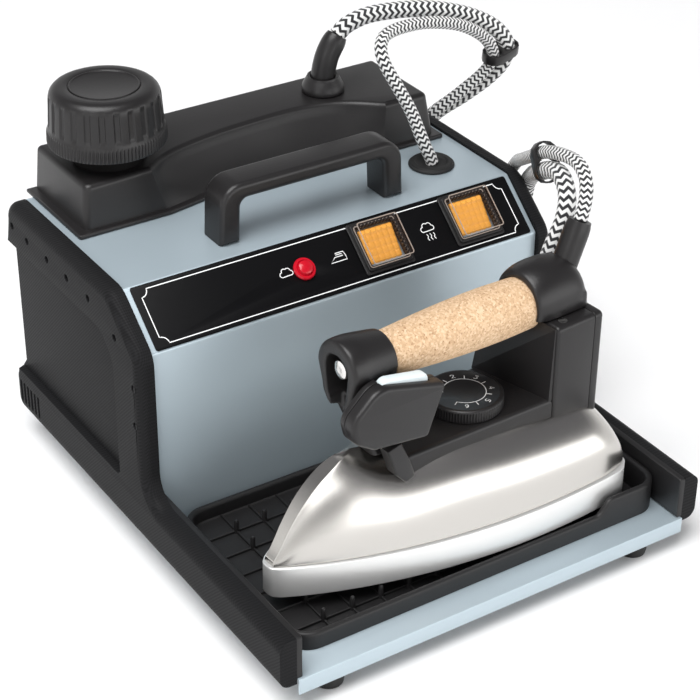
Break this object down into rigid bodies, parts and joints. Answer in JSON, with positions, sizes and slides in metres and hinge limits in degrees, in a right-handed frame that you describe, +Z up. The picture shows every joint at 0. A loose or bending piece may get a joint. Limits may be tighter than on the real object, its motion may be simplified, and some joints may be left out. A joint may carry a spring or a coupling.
{
  "type": "steam generator iron",
  "caption": "Boiler cabinet with carry handle, filler cap and rest mat at the front, and a cork-grip steam iron joined to it by a hose and a cable.",
  "frame": {"origin": "centre of the box around the cabinet and iron without the cords, on the surface the feet stand on", "axes": "+Z up, the rest mat and iron face -Y, and +X is to the right seen from that side"},
  "size_m": [0.3301, 0.462, 0.2338],
  "materials": {
    "paint": "fine satin enamel",
    "black_plastic": "satin moulding",
    "woven_plastic": "fine woven grain",
    "mat_rubber": "satin",
    "foot_rubber": "dull",
    "label_film": "smooth film with white outlines",
    "amber_lens": "translucent amber",
    "clear_lens": "clear flexible plastic",
    "red_lens": "translucent red",
    "stainless": "brushed",
    "aluminium": "machined",
    "brass": "turned",
    "cork": "speckled cork",
    "pale_button": "satin",
    "seal_rubber": "dull",
    "braid": "black and white braid",
    "ceramic": "unglazed"
  },
  "bodies": {
    "base": {"base_pan": "paint", "cabinet_shell": "paint", "rear_cover": "paint", "iron_switch_bezel": "black_plastic", "boiler_switch_bezel": "black_plastic", "carry_handle": "black_plastic", "tank_cover": "black_plastic", "hose_collar": "black_plastic", "hose_sleeve": "black_plastic", "mains_gland": "black_plastic", "cord_clip_cabinet": "black_plastic", "pressure_switch": "black_plastic", "terminal_block": "black_plastic", "side_panel_right": "woven_plastic", "side_panel_left": "woven_plastic", "iron_rest_mat": "mat_rubber", "foot_front_left": "foot_rubber", "foot_front_right": "foot_rubber", "foot_rear_left": "foot_rubber", "foot_rear_right": "foot_rubber", "cable_grommet": "foot_rubber", "control_label": "label_film", "iron_splash_cover": "clear_lens", "boiler_splash_cover": "clear_lens", "pilot_lamp": "red_lens", "boiler_tank": "stainless", "boiler_heater": "stainless", "boiler_cradle": "aluminium", "steam_valve": "brass", "steam_supply_pipe": "brass", "hose_lead_out": "braid", "hose_coil": "braid", "hose_lead_return": "braid", "cable_lead_out": "braid", "cable_coil": "braid", "cable_lead_return": "braid", "safety_thermostat": "ceramic"},
    "iron": {"soleplate": "aluminium", "iron_heating_element": "stainless", "iron_dome": "stainless", "iron_deck": "black_plastic", "iron_thermostat": "brass", "cork_grip": "cork", "grip_tie_bolt": "stainless", "front_post": "black_plastic", "rear_post": "black_plastic", "rear_block": "black_plastic", "rear_block_cover": "black_plastic", "cable_sleeve": "black_plastic", "switch_case_outer": "black_plastic", "switch_case_inner": "black_plastic", "hose_lead_iron": "braid", "cable_lead_iron": "braid", "cord_clip_iron": "black_plastic"},
    "dial": {"thermostat_dial": "black_plastic"},
    "button": {"steam_button": "pale_button"},
    "iron_rocker_body": {"iron_rocker": "amber_lens"},
    "boiler_rocker_body": {"boiler_rocker": "amber_lens"},
    "cap_travel": {"cap_seal": "seal_rubber"},
    "cap": {"boiler_cap": "black_plastic"}
  },
  "joints": [
    {"name": "iron_lift", "type": "slide", "parent": "base", "child": "iron", "axis": [0, 0, 1], "range_m": [0, 0.075]},
    {"name": "dial_turn", "type": "hinge", "parent": "iron", "child": "dial", "pos_m": [0.01949, -0.08709, 0.1], "axis": [0, 0, 1], "range_deg": [-150, 120]},
    {"name": "button_press", "type": "slide", "parent": "iron", "child": "button", "axis": [-0.156, -0.0123, -0.9877], "range_m": [0, 0.003], "stiffness_N_per_m": 600, "springref_m": -0.001},
    {"name": "iron_switch", "type": "hinge", "parent": "base", "child": "iron_rocker_body", "pos_m": [0.0268, 0.00741, 0.14579], "axis": [1, 0, 0], "range_deg": [-16, 0]},
    {"name": "boiler_switch", "type": "hinge", "parent": "base", "child": "boiler_rocker_body", "pos_m": [0.0884, 0.00741, 0.14579], "axis": [1, 0, 0], "range_deg": [-16, 0]},
    {"name": "cap_rise", "type": "slide", "parent": "base", "child": "cap_travel", "axis": [0, 0, 1], "range_m": [0, 0.008]},
    {"name": "cap_turn", "type": "hinge", "parent": "cap_travel", "child": "cap", "pos_m": [-0.084, 0.112, 0.21], "axis": [0, 0, 1], "range_deg": [0, 720]}
  ],
  "couplings": [
    {"joint": "cap_rise", "follows": "cap_turn", "m_per_rad": 0.00063662}
  ]
}
